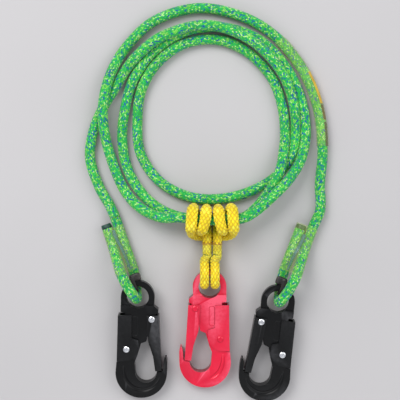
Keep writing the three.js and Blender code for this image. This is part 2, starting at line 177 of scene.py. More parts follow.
def front_height(a):
    """Height of the front leg: a smooth step from 32 mm at the loop down to the rear leg's height."""
    t = np.clip((a - 0.022) / 0.054, 0, 1)
    t = t * t * (3 - 2 * t)
    return 0.032 + (LEG_Z - 0.032) * t


def rope_route():
    """The free rope's route from the left sleeve, round the coil, to the right sleeve."""
    low = [in_hitch(dx, STRAND_LOW) for dx in (0.037, 0.014, -0.012, -0.036)]
    high = [in_hitch(dx, STRAND_HIGH) for dx in (0.038, 0.015, -0.011, -0.035)]
    first = [
        (214, 0.1495), (200, 0.1436), (188, 0.132), (176, 0.120), (165, 0.111),
        (150, 0.1065, 0.008), (138, 0.1038, 0.014), (120, 0.1018, 0.0174), (90, 0.100, 0.0186),
        (60, 0.0963, 0.0172), (30, 0.096, 0.0152), (8, 0.098, 0.011), (-10, 0.1015, 0.007),
        (-26, 0.1066), (-45, 0.1045), (-72, 0.0985), (-100, 0.0966), (-125, 0.0945),
        (-150, 0.089), (-175, 0.081), (-200, 0.081), (-225, 0.0825), (-250, 0.085),
        (-275, 0.086), (-300, 0.0845), (-330, 0.084), (-355, 0.0856), (-375, 0.091),
        (-388, 0.097, 0.011), (-398, 0.1035, 0.0175), (-410, 0.111, 0.0178),
    ]
    second = [
        (-477, 0.121, 0.0145), (-490, 0.1175, 0.009), (-505, 0.1115, 0.0066), (-522, 0.103),
        (-540, 0.096),
        (-565, 0.094), (-590, 0.095), (-615, 0.098), (-640, 0.101), (-665, 0.1034),
        (-690, 0.1042), (-712, 0.108), (-732, 0.114, 0.0075), (-746, 0.1175, 0.013),
        (-757, 0.1178, 0.020), (-768, 0.1178, 0.027),
    ]
    third = [
        (-834, 0.1285, 0.025), (-846, 0.1315, 0.016), (-858, 0.1285, 0.009), (-872, 0.1225, 0.0072),
        (-886, 0.1198, 0.012), (-898, 0.1193, 0.0178), (-910, 0.1192, 0.0178), (-923, 0.120, 0.011),
        (-938, 0.121), (-960, 0.1232), (-985, 0.122), (-1010, 0.1182, LABEL_Z),
        (-1030, 0.1176, LABEL_Z), (-1052, 0.119, LABEL_Z), (-1070, 0.1234, LABEL_Z),
        (-1085, 0.1295, LABEL_Z), (-1100, 0.139, LABEL_Z), (-1112, 0.1505, LABEL_Z),
    ]
    start = REAR_END + END_GAP
    return (
        [eye_point("left", start, -LEG_OFFSET, LEG_Z), [-0.1032, -0.006, 0.007]]
        + [around(*p) for p in first] + low + [around(*p) for p in second] + high
        + [around(*p) for p in third]
        + [[0.1372, -0.0115, LABEL_Z], eye_point("right", start, LEG_OFFSET, LEG_Z)]
    )


def eye_route(side):
    """The sewn eye's route: rear leg, loop through the hook's eye, front leg."""
    joined = REAR_END + END_GAP
    rear_end, front_end = (joined, TAIL_END) if side == "left" else (TAIL_END, joined)
    loop = [
        (0.018, -0.0045, 0.0066), (0.009, -0.0025, 0.0074), (0.002, -0.001, 0.0118),
        (-0.0016, 0, 0.0196),
        (0.002, 0.001, 0.0274), (0.009, 0.0025, 0.0318), (0.018, 0.0045, 0.0326),
    ]
    rear = [(a, -LEG_OFFSET, LEG_Z) for a in (rear_end, 0.076, 0.060, 0.045, 0.033)]
    front = [(a, LEG_OFFSET, front_height(a)) for a in (0.032, 0.038, 0.045, 0.052, 0.060, 0.068, 0.076)]
    front.append((front_end, LEG_OFFSET, front_height(front_end)))
    return [eye_point(side, *p) for p in rear + loop + front]


# Distance of each leg of the hitch cord from the hitch's middle line.
HITCH_LEG = 0.0058


def hitch_route():
    """The hitch cord's route: each leg passes under both strands and twice over, then the bridge."""
    w, low, high, leg, bridge = 0.0125, 0.0054, 0.0427, HITCH_LEG, -0.0195
    half = [
        (leg, -0.038, 0.0136), (leg, -0.030, 0.0149), (leg, bridge, 0.0164), (leg, -0.0116, 0.0122),
        (leg, 0, low), (0.0062, 0.010, 0.0095), (0.0064, w, 0.018), (0.0066, w, 0.030),
        (0.007, 0.0095, 0.0395),
        (0.008, 0, high), (0.0105, -0.0095, 0.0395), (0.012, -w, 0.030), (0.014, -w, 0.018),
        (0.016, -0.0096, 0.0088), (0.0175, 0, low), (0.0193, 0.0098, 0.0088), (0.0205, w, 0.018),
        (0.0213, w, 0.030), (0.0222, 0.0095, 0.0395), (0.023, 0, high), (0.0236, -0.0098, 0.0395),
        (0.0239, -0.0131, 0.030), (0.0239, -0.0146, 0.020), (0.0225, -0.018, 0.010),
        (0.017, bridge, 0.0058), (0.009, bridge, low),
    ]

    def placed(side, dx, dy, z):
        return [HITCH[0] + side * dx, HITCH[1] + dy + min(dx * dx, 0.0009) / HITCH_BEND, z]

    return [placed(-1, *p) for p in half] + [placed(1, *p) for p in reversed(half)]


def hitch_eye_route(sign):
    """One sewn eye of the hitch cord: upper ply, over the hook's rim, and back as the lower ply."""
    leg_x = HITCH[0] + sign * HITCH_LEG
    ring_x = MIDDLE_EYE[0] + sign * 0.0059 + 0.0002
    ring_y = MIDDLE_EYE[1]
    start = HITCH[1] - 0.038
    ring = [
        (0.0295, 0.0182), (0.024, 0.027), (0.0175, 0.031), (0.0106, 0.031), (0.0042, 0.0272),
        (0.0021, 0.020), (0.0046, 0.0128), (0.012, 0.0072), (0.020, 0.0058), (0.028, 0.0054),
    ]
    return [[leg_x, start, 0.0134], [leg_x - sign * 0.0002, start - 0.004, 0.0137]] + [
        [ring_x, ring_y + dy, z] for dy, z in ring
    ]


HOOK_PLACES = {
    "left": {"at": (-0.0702, -0.1093, 0.0184), "lean": -1, "spine": -1},
    "middle": {"at": (0.0108, -0.0976, 0.0184), "lean": 0, "spine": 1},
    "right": {"at": (0.088, -0.1144, 0.0184), "lean": -6.5, "spine": 1},
}
HOOK_TILT = math.radians(6.1)


def hook_to_world(name, points):
    """Points given in a hook's own plan, x to its spine and y up from its eye, placed in the frame."""
    place = HOOK_PLACES[name]
    lean = math.radians(place["lean"])
    p = np.asarray(points, float) * [place["spine"], 1, 1]
    c, s = math.cos(HOOK_TILT), math.sin(HOOK_TILT)
    p = p @ np.array([[1, 0, 0], [0, c, -s], [0, s, c]]).T
    c, s = math.cos(lean), math.sin(lean)
    p = p @ np.array([[c, -s, 0], [s, c, 0], [0, 0, 1]]).T
    return p + place["at"] + SHIFT


# --- meshes -----------------------------------------------------------------


def new_object(name, points, faces, smooth=True):
    """A mesh object from arrays, its faces turned outwards."""
    mesh = bpy.data.meshes.new(name)
    mesh.from_pydata(np.asarray(points, float).tolist(), [], [list(f) for f in faces])
    mesh.validate()
    work = bmesh.new()
    work.from_mesh(mesh)
    bmesh.ops.remove_doubles(work, verts=work.verts, dist=1e-7)
    bmesh.ops.recalc_face_normals(work, faces=work.faces)
    work.to_mesh(mesh)
    work.free()
    mesh.polygons.foreach_set("use_smooth", [smooth] * len(mesh.polygons))
    obj = bpy.data.objects.new(name, mesh)
    bpy.context.scene.collection.objects.link(obj)
    return obj


def grid_faces(rows, columns):
    """Quads of a grid whose columns close on themselves."""
    r, c = np.meshgrid(np.arange(rows - 1), np.arange(columns), indexing="ij")
    n = (c + 1) % columns
    low, high = r * columns, (r + 1) * columns
    return np.stack([low + c, low + n, high + n, high + c], -1).reshape(-1, 4)


def rings(path, columns):
    """Circles of unit radius square to the path, one at each of its points."""
    _, normal, side = carried_frames(path)
    angle = 2 * np.pi * np.arange(columns)[None, :, None] / columns
    return np.cos(angle) * normal[:, None] + np.sin(angle) * side[:, None]


def closed_tube(name, points, smooth=True):
    """A tube through a grid of points, rings along it and columns round it, with both ends closed."""
    rows, columns = points.shape[:2]
    ends = [list(range(columns)), list(range((rows - 1) * columns, rows * columns))]
    faces = grid_faces(rows, columns).tolist() + ends
    return new_object(name, points.reshape(-1, 3), faces, smooth=smooth)


def turn_outwards(obj, merge=0.0):
    """Merges the doubles of a closed mesh if asked, and turns all its faces outwards."""
    work = bmesh.new()
    work.from_mesh(obj.data)
    if merge:
        bmesh.ops.remove_doubles(work, verts=work.verts, dist=merge)
    bmesh.ops.recalc_face_normals(work, faces=work.faces)
    work.to_mesh(obj.data)
    work.free()


def braid_height(u, v):
    """Height of the braid from 0 to 1: each diamond cell is one strand showing between its neighbours.

    It is a product of two sine humps, one along each diagonal. The hump along the strand is flatter
    than the one across it, and the strands of neighbouring columns lean opposite ways.
    """
    first, second = u + v, u - v
    leaning = (np.floor(first) + np.floor(second)) % 2
    along, across = np.abs(np.sin(np.pi * first)), np.abs(np.sin(np.pi * second))
    one = along ** FLAT_HUMP * across ** ROUND_HUMP
    other = along ** ROUND_HUMP * across ** FLAT_HUMP
    return np.where(leaning, one, other)


def braided_tube(name, path, radius, cells, cell_length, step, depth, columns, bundle=1):
    """A braided cord: a circle carried along the path, raised in diamond cells, with closed ends.

    The radius at angle t and distance s is r - depth * (1 - height(cells * t / 2 pi, s / cell)), where
    a raised cell holds bundle yarns each way.
    """
    path = even(path, step)
    rows = len(path)
    along = np.arange(rows) * step
    turn = np.arange(columns) / columns
    u = np.broadcast_to(turn * cells, (rows, columns))
    v = np.broadcast_to(along[:, None] / cell_length, (rows, columns))
    r = radius - depth * (1 - braid_height(u / bundle, v / bundle))
    obj = closed_tube(name, path[:, None] + r[..., None] * rings(path, columns))
    add_cell_map(obj, columns, cells, step / cell_length)
    return obj, path


def add_cell_map(obj, columns, cells, per_row):
    """A UV map that counts braid cells, u round the cord and v along it."""
    mesh = obj.data
    layer = mesh.uv_layers.new(name="cells")
    loops = np.empty(len(mesh.loops), int)
    mesh.loops.foreach_get("vertex_index", loops)
    starts = np.empty(len(mesh.polygons), int)
    totals = np.empty(len(mesh.polygons), int)
    mesh.polygons.foreach_get("loop_start", starts)
    mesh.polygons.foreach_get("loop_total", totals)
    row, column = loops // columns, (loops % columns).astype(float)
    owner = np.repeat(np.arange(len(totals)), totals)
    order = np.argsort(starts)
    low = np.minimum.reduceat(column, starts[order])
    high = np.maximum.reduceat(column, starts[order])
    seam = (high - low > columns / 2)[np.argsort(order)][owner] & (totals[owner] == 4)
    column = np.where(seam & (column < columns / 2), column + columns, column)
    uv = np.stack([column / columns * cells, row * per_row], axis=1)
    layer.data.foreach_set("uv", uv.astype(np.float32).ravel())


def plain_tube(name, path, radii, columns=24):
    """A closed tube of changing radius along a path."""
    radii = np.broadcast_to(radii, len(path))[:, None, None]
    return closed_tube(name, path[:, None] + radii * rings(path, columns))


def shell(name, outer, inner):
    """An open-ended sleeve from arrays of outer and inner rings."""
    rows, columns = outer.shape[:2]
    faces = grid_faces(rows, columns)
    both = np.vstack([faces, faces + rows * columns])
    rims = []
    c = np.arange(columns)
    n = (c + 1) % columns
    for first in (0, (rows - 1) * columns):
        within = first + rows * columns
        rims.append(np.stack([first + c, first + n, within + n, within + c], -1))
    points = np.vstack([outer.reshape(-1, 3), inner.reshape(-1, 3)])
    return new_object(name, points, np.vstack([both, *rims]).tolist())


def leg_rings(side, stations, radius, columns=40):
    """Slot-shaped rings round both legs of a sewn eye: two half circles joined by straight sides."""
    half_turn = columns // 2
    rings = []
    for a in stations:
        rise = front_height(a) - LEG_Z
        width = math.hypot(2 * LEG_OFFSET, rise)
        across = np.array([2 * LEG_OFFSET, rise]) / width
        out = np.array([-across[1], across[0]])
        angle = np.linspace(-np.pi / 2, np.pi / 2, half_turn)
        ends = []
        for end in (1, -1):
            along = end * (width / 2 + radius * np.cos(angle))
            off = end * radius * np.sin(angle)
            ends.append(along[:, None] * across + off[:, None] * out)
        plan = np.vstack(ends) + [0, LEG_Z + rise / 2]
        rings.append([eye_point(side, a, u, z) for u, z in plan])
    return np.array(rings) + SHIFT


def refined_copy(node, bevel, segments=3):
    """A merged copy of a rigid piece with rounded edges, for a finish the plain solid lacks."""
    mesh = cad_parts[node].data.copy()
    mesh.name = node + "_finished"
    work = bmesh.new()
    work.from_mesh(mesh)
    bmesh.ops.remove_doubles(work, verts=work.verts, dist=2e-6)
    bmesh.ops.dissolve_limit(work, angle_limit=math.radians(1), verts=work.verts, edges=work.edges)
    work.to_mesh(mesh)
    work.free()
    mesh.materials.clear()
    mesh.polygons.foreach_set("use_smooth", [True] * len(mesh.polygons))
    obj = bpy.data.objects.new(mesh.name, mesh)
    bpy.context.scene.collection.objects.link(obj)
    rounding = obj.modifiers.new("edge_rounding", "BEVEL")
    rounding.width = bevel
    rounding.segments = segments
    rounding.limit_method = "ANGLE"
    rounding.angle_limit = math.radians(28)
    even_faces = obj.modifiers.new("flat_faces", "WEIGHTED_NORMAL")
    even_faces.keep_sharp = True
    return obj


def carve(obj, cutters, axis):
    """Rounds obj's edges for good, then cuts the closed meshes cutters out of it.

    Faces square to the axis are shaded flat, and the rest smoothly.
    """
    obj.modifiers.remove(obj.modifiers["flat_faces"])
    for cutter in cutters:
        step = obj.modifiers.new("groove", "BOOLEAN")
        step.operation = "DIFFERENCE"
        step.solver = "EXACT"
        step.object = cutter
    graph = bpy.context.evaluated_depsgraph_get()
    graph.update()
    carved = bpy.data.meshes.new_from_object(obj.evaluated_get(graph))
    obj.modifiers.clear()
    carved.name = obj.data.name
    carved.set_sharp_from_angle(angle=math.radians(38))
    normals = np.empty(3 * len(carved.polygons))
    carved.polygons.foreach_get("normal", normals)
    curved = np.abs(normals.reshape(-1, 3) @ axis) < LEVEL_COSINE
    carved.polygons.foreach_set("use_smooth", curved)
    obj.data = carved
    even_faces = obj.modifiers.new("flat_faces", "WEIGHTED_NORMAL")
    even_faces.keep_sharp = True
    for cutter in cutters:
        bpy.data.objects.remove(cutter)


# --- materials --------------------------------------------------------------


def new_material(name, roughness, metallic=0.0, **sockets):
    """A Principled material, its node tree and its shader."""
    material = bpy.data.materials.new(name)
    material.use_nodes = True
    tree = material.node_tree
    shader = tree.nodes["Principled BSDF"]
    shader.inputs["Roughness"].default_value = roughness
    shader.inputs["Metallic"].default_value = metallic
    for socket, value in sockets.items():
        shader.inputs[socket.replace("_", " ")].default_value = value
    return material, tree, shader


def maths(tree, operation, a, b=None):
    """A Math node; a and b are sockets or numbers."""
    node = tree.nodes.new("ShaderNodeMath")
    node.operation = operation
    for socket, value in zip(node.inputs, (a, b)):
        if isinstance(value, (int, float)):
            socket.default_value = value
        elif value is not None:
            tree.links.new(value, socket)
    return node.outputs[0]


def noise(tree, scale, detail=2.0, coordinates=None):
    """A noise texture on Object coordinates, or on other coordinates."""
    node = tree.nodes.new("ShaderNodeTexNoise")
    node.inputs["Scale"].default_value = scale
    node.inputs["Detail"].default_value = detail
    if coordinates is None:
        coordinates = tree.nodes.new("ShaderNodeTexCoord").outputs["Object"]
    tree.links.new(coordinates, node.inputs["Vector"])
    return node.outputs["Fac"]


def ramp(tree, factor, stops, interpolation="LINEAR"):
    """A colour ramp from (position, (r, g, b)) stops."""
    node = tree.nodes.new("ShaderNodeValToRGB")
    node.color_ramp.interpolation = interpolation
    elements = node.color_ramp.elements
    while len(elements) < len(stops):
        elements.new(0.5)
    for element, (position, colour) in zip(elements, stops):
        element.position = position
        element.color = (*colour, 1)
    tree.links.new(factor, node.inputs["Fac"])
    return node.outputs["Color"]


def mixed(tree, blend, factor, a, b):
    """A colour Mix node; a and b are sockets or colours."""
    node = tree.nodes.new("ShaderNodeMix")
    node.data_type = "RGBA"
    node.blend_type = blend
    for socket, value in ((node.inputs["Factor"], factor), (node.inputs["A"], a), (node.inputs["B"], b)):
        if isinstance(value, bpy.types.NodeSocket):
            tree.links.new(value, socket)
        elif isinstance(value, (int, float)):
            socket.default_value = value
        else:
            socket.default_value = (*value, 1)
    return node.outputs["Result"]


def chosen(tree, choice, low, high):
    """low where choice is 0, high where it is 1, both sockets."""
    node = tree.nodes.new("ShaderNodeMix")
    for socket, value in zip(node.inputs, (choice, None, low, high)):
        if value is not None:
            tree.links.new(value, socket)
    return node.outputs["Result"]


def bump(tree, shader, height, distance, strength=1.0):
    """A Bump node from a height socket to the shader's normal."""
    node = tree.nodes.new("ShaderNodeBump")
    node.inputs["Distance"].default_value = distance
    node.inputs["Strength"].default_value = strength
    tree.links.new(height, node.inputs["Height"])
    tree.links.new(node.outputs["Normal"], shader.inputs["Normal"])


def braid_material(name, stops, shade, roughness, sheen):
    """Braided yarn: each diamond cell takes a yarn colour, with painted shade at its edges and a painted
    highlight on its crown, and shows its fibres.
    """
    material, tree, shader = new_material(name, roughness, Sheen_Weight=sheen, Specular_IOR_Level=0.35)
    cells = tree.nodes.new("ShaderNodeUVMap")
    cells.uv_map = "cells"
    split = tree.nodes.new("ShaderNodeSeparateXYZ")
    tree.links.new(cells.outputs["UV"], split.inputs[0])
    u, v = split.outputs["X"], split.outputs["Y"]
    first, second = maths(tree, "ADD", u, v), maths(tree, "SUBTRACT", u, v)
    cell = tree.nodes.new("ShaderNodeCombineXYZ")
    tree.links.new(maths(tree, "FLOOR", first), cell.inputs[0])
    tree.links.new(maths(tree, "FLOOR", second), cell.inputs[1])
    chance = tree.nodes.new("ShaderNodeTexWhiteNoise")
    chance.noise_dimensions = "2D"
    tree.links.new(cell.outputs[0], chance.inputs["Vector"])
    colour = ramp(tree, chance.outputs["Value"], stops, "CONSTANT")
    counts = [maths(tree, "FLOOR", t) for t in (first, second)]
    leaning = maths(tree, "FLOORED_MODULO", maths(tree, "ADD", *counts), 2.0)
    sines = [maths(tree, "SINE", maths(tree, "MULTIPLY", t, math.pi)) for t in (first, second)]
    waves = [maths(tree, "ABSOLUTE", sine) for sine in sines]
    strands = []
    for one, other, run in ((waves[0], waves[1], second), (waves[1], waves[0], first)):
        flat, round_ = maths(tree, "POWER", one, FLAT_HUMP), maths(tree, "POWER", other, ROUND_HUMP)
        hump = maths(tree, "MULTIPLY", flat, round_)
        fibres = maths(tree, "SINE", maths(tree, "MULTIPLY", run, FIBRES_PER_CELL * 2 * math.pi))
        strands.append((hump, fibres))
    hump = chosen(tree, leaning, strands[1][0], strands[0][0])
    fibres = chosen(tree, leaning, strands[1][1], strands[0][1])
    # Painted shade and highlight: each cell's colour is darkened towards the shade colour in the
    # crevices between strands and lightened above its own colour on the strand's crown.
    edge = ramp(tree, hump, [(0.0, shade), (0.5, (0.86, 0.86, 0.86)), (1.0, (1.12, 1.12, 1.12))])
    colour = mixed(tree, "MULTIPLY", 1.0, colour, edge)
    lines = ramp(tree, fibres, [(0.0, (0.86, 0.86, 0.86)), (1.0, (1.08, 1.08, 1.08))])
    colour = mixed(tree, "MULTIPLY", 1.0, colour, lines)
    patches = ramp(tree, noise(tree, 60.0), [(0.3, (0.82, 0.82, 0.82)), (0.7, (1.15, 1.15, 1.15))])
    colour = mixed(tree, "MULTIPLY", 0.8, colour, patches)
    tree.links.new(colour, shader.inputs["Base Color"])
    height = maths(tree, "ADD", hump, maths(tree, "MULTIPLY", fibres, 0.08))
    bump(tree, shader, height, 0.0005, 0.7)
    return material


def coated_metal(name, base, worn, roughness, metallic, grain, coat, wall_shade):
    """Coated forged metal: fine grain, colour drift, painted shade darkening the colour on upright
    sides, lighter worn edges.
    """
    material, tree, shader = new_material(
        name, roughness, metallic, Coat_Weight=coat, Coat_Roughness=0.12, Specular_IOR_Level=0.2
    )
    edges = tree.nodes.new("ShaderNodeNewGeometry").outputs["Pointiness"]
    drift = noise(tree, 45.0, 4.0)
    body = ramp(tree, drift, [(0.3, tuple(c * 0.8 for c in base)), (0.7, base)])
    split = tree.nodes.new("ShaderNodeSeparateXYZ")
    tree.links.new(tree.nodes.new("ShaderNodeNewGeometry").outputs["Normal"], split.inputs[0])
    facing = maths(tree, "ABSOLUTE", split.outputs["Z"])
    # Painted shade: the colour is multiplied down to the given factor as the surface turns from level to
    # upright, standing in for the dimmer light on the hook's sides.
    painted_wall_shade = ramp(tree, facing, [(0.2, (wall_shade, wall_shade, wall_shade)), (0.97, (1.0, 1.0, 1.0))])
    body = mixed(tree, "MULTIPLY", 1.0, body, painted_wall_shade)
    wear = maths(tree, "MULTIPLY", maths(tree, "SUBTRACT", edges, 0.52), noise(tree, 300.0, 3.0))
    wear = maths(tree, "MULTIPLY", wear, 9.0)
    wear = maths(tree, "MINIMUM", maths(tree, "MAXIMUM", wear, 0.0), 1.0)
    tree.links.new(mixed(tree, "MIX", wear, body, worn), shader.inputs["Base Color"])
    fine = noise(tree, 1800.0, 3.0)
    rough = maths(tree, "ADD", maths(tree, "MULTIPLY", fine, 0.18), roughness - 0.08)
    tree.links.new(rough, shader.inputs["Roughness"])
    bump(tree, shader, maths(tree, "ADD", fine, drift), grain, 0.35)
    return material


def plain_finish(name, low, high, roughness, scale, metallic=0.0, grain=0.00008, **sockets):
    """Plastic, thread or bright metal: two close tones mixed by noise over a finely rough surface."""
    material, tree, shader = new_material(name, roughness, metallic, **sockets)
    tone = noise(tree, scale, 3.0)
    tree.links.new(ramp(tree, tone, [(0.35, low), (0.65, high)]), shader.inputs["Base Color"])
    bump(tree, shader, noise(tree, scale * 12, 3.0), grain, 0.4)
    return material


def clear_film():
    """Clear heat-shrunk plastic: mostly transparent, glossy, with fine shrink wrinkles."""
    material, tree, shader = new_material(
        "clear_film", 0.12, Alpha=0.10, Coat_Weight=0.3, Coat_Roughness=0.08
    )
    tint = ramp(tree, noise(tree, 90.0), [(0.3, (0.45, 0.62, 0.12)), (0.7, (0.60, 0.72, 0.22))])
    tree.links.new(tint, shader.inputs["Base Color"])
    bump(tree, shader, noise(tree, 260.0, 2.0), 0.0003, 0.35)
    return material


FINISHES = {}


def make_finishes():
    """All finishes, made once and kept by name."""
    green = [
        (0.0, (0.010, 0.52, 0.065)), (0.26, (0.020, 0.62, 0.10)), (0.43, (0.0, 0.36, 0.17)),
        (0.58, (0.20, 0.74, 0.085)), (0.79, (0.0, 0.13, 0.40)), (0.89, (0.44, 0.88, 0.26)),
    ]
    yellow = [(0.0, (0.93, 0.68, 0.0)), (0.45, (0.97, 0.76, 0.004)), (0.8, (1.0, 0.86, 0.04))]
    # The third argument of each braid is its painted shade colour for the crevices between strands.
    FINISHES["rope"] = braid_material("rope_braid_yarn", green, (0.26, 0.42, 0.32), 0.55, 0.2)
    FINISHES["cord"] = braid_material("hitch_cord_yarn", yellow, (0.80, 0.62, 0.20), 0.42, 0.2)
    # Both coats carry painted shade on their upright sides, set by the last keyword.
    FINISHES["red"] = coated_metal(
        "red_anodised", (0.78, 0.012, 0.048), (0.92, 0.10, 0.17),
        roughness=0.30, metallic=0.25, grain=0.00006, coat=0.35, wall_shade=0.35,
    )
    FINISHES["black"] = coated_metal(
        "black_coated", (0.0028, 0.0028, 0.003), (0.05, 0.05, 0.053),
        roughness=0.32, metallic=0.0, grain=0.0002, coat=0.05, wall_shade=0.8,
    )
    plain = (
        ("rivet", "rivet_steel", (0.62, 0.62, 0.64), (0.85, 0.85, 0.87), 0.25, 400.0, 1.0),
        ("spring", "spring_steel", (0.45, 0.45, 0.47), (0.62, 0.62, 0.65), 0.3, 500.0, 1.0),
        ("thimble", "thimble_black", (0.012, 0.010, 0.010), (0.03, 0.024, 0.022), 0.42, 120.0),
        ("thread", "teal_thread", (0.0, 0.09, 0.17), (0.01, 0.19, 0.28), 0.6, 900.0, 0.0, 0.0003),
        ("seal", "melted_end", (0.004, 0.03, 0.022), (0.012, 0.075, 0.05), 0.4, 250.0, 0.0, 0.0006),
        ("label", "label_yellow", (0.66, 0.32, 0.0), (0.80, 0.46, 0.004), 0.4, 80.0),
        ("label_dark", "label_dark", (0.01, 0.008, 0.012), (0.06, 0.03, 0.07), 0.4, 260.0),
        ("label_maroon", "label_maroon", (0.045, 0.004, 0.004), (0.13, 0.014, 0.01), 0.4, 160.0),
        ("scorched", "scorched_throat", (0.36, 0.17, 0.004), (0.62, 0.34, 0.01), 0.6, 300.0),
    )
    for key, *rest in plain:
        FINISHES[key] = plain_finish(*rest)
    FINISHES["film"] = clear_film()


def finish(obj, *names):
    """Gives an object its finishes, one slot each."""
    obj.data.materials.clear()
    for name in names:
        obj.data.materials.append(FINISHES[name])


# --- settings ---------------------------------------------------------------


class LanyardRopeSettings(bpy.types.PropertyGroup):
    """Sizes of the rope, the hitch cord and their braids."""

    rope_radius: bpy.props.FloatProperty(
        name="Rope Radius", description="Radius of the main rope",
        default=0.006, min=0.004, unit="LENGTH",
    )
    cord_radius: bpy.props.FloatProperty(
        name="Cord Radius", description="Radius of the hitch cord",
        default=0.0053, min=0.003, unit="LENGTH",
    )
    rope_cells: bpy.props.IntProperty(
        name="Rope Cells", description="Braid cells round the main rope", default=18, min=6
    )
    cord_cells: bpy.props.IntProperty(
        name="Cord Cells", description="Braid cells round the hitch cord", default=7, min=4
    )
    braid_depth: bpy.props.FloatProperty(
        name="Braid Depth", description="Height of one braid cell",
        default=0.00055, min=0.0, unit="LENGTH",
    )
    sleeve_gap: bpy.props.FloatProperty(
        name="Sleeve Gap", description="Space between a leg and its clear sleeve",
        default=0.0003, unit="LENGTH",
    )


class LanyardHookSettings(bpy.types.PropertyGroup):
    """Edge rounding and relief of the snap hooks."""

    edge_radius: bpy.props.FloatProperty(
        name="Edge Radius", description="Rounding of the forged body's edges",
        default=0.0015, unit="LENGTH",
    )
    sheet_radius: bpy.props.FloatProperty(
        name="Sheet Radius", description="Rounding of the folded sheet's edges",
        default=0.0005, unit="LENGTH",
    )
    groove_radius: bpy.props.FloatProperty(
        name="Groove Radius", description="Radius of the tool that cuts the bowl's groove",
        default=0.0032, unit="LENGTH",
    )


class LanyardStageSettings(bpy.types.PropertyGroup):
    """Camera and floor."""

    view_width: bpy.props.FloatProperty(
        name="View Width", description="Width of table that the camera sees", default=0.46, unit="LENGTH"
    )
    camera_height: bpy.props.FloatProperty(
        name="Camera Height", description="Height of the camera above the table",
        default=1.1, unit="LENGTH",
    )
    floor_colour: bpy.props.FloatVectorProperty(
        name="Floor Colour", description="Colour of the table",
        default=(0.505, 0.49, 0.49), size=3, subtype="COLOR",
    )


# --- operators --------------------------------------------------------------


def rope_settings():
    return bpy.context.scene.lanyard_rope


class LANYARD_OT_stage(bpy.types.Operator):
    """Pale table, soft light from the upper left and a camera looking straight down"""

    bl_idname = "lanyard.stage"
    bl_label = "Stage"

    def execute(self, context):
        settings = context.scene.lanyard_stage
        camera = bpy.data.cameras.new("camera")
        camera.sensor_width = 36.0
        camera.lens = camera.sensor_width * settings.camera_height / settings.view_width
        camera.clip_end = 20
        holder = bpy.data.objects.new("camera", camera)
        holder.location = (SHIFT[0], SHIFT[1], settings.camera_height)
        context.scene.collection.objects.link(holder)
        context.scene.camera = holder
        half = 6.0
        corners = [(-half, -half, 0), (half, -half, 0), (half, half, 0), (-half, half, 0)]
        floor = new_object("table", corners, [(0, 1, 2, 3)], smooth=False)
        material, tree, shader = new_material("table_top", 0.6, Specular_IOR_Level=0.25)
        colour = tuple(settings.floor_colour)
        darker = tuple(0.95 * c for c in colour)
        tone = ramp(tree, noise(tree, 3.0), [(0.3, darker), (0.7, colour)])
        tree.links.new(tone, shader.inputs["Base Color"])
        floor.data.materials.append(material)
        for name, place, size, power in (
            ("key", (-0.9, 1.2, 1.7), 1.3, 34.0),
            ("fill", (1.4, 0.5, 1.5), 1.6, 14.0),
            ("front", (0.1, -1.5, 1.3), 1.2, 9.0),
        ):
            light = bpy.data.lights.new(name, "AREA")
            light.size = size
            light.energy = power
            lamp = bpy.data.objects.new(name, light)
            lamp.location = place
            aim = Vector((0, 0.1, 0)) - Vector(place)
            lamp.rotation_euler = aim.to_track_quat("-Z", "Y").to_euler()
            context.scene.collection.objects.link(lamp)
        world = bpy.data.worlds.new("soft_sky")
        world.use_nodes = True
        world.node_tree.nodes["Background"].inputs["Color"].default_value = (0.90, 0.93, 1.0, 1)
        world.node_tree.nodes["Background"].inputs["Strength"].default_value = 0.55
        context.scene.world = world
        context.scene.view_settings.view_transform = "Standard"
        return {"FINISHED"}


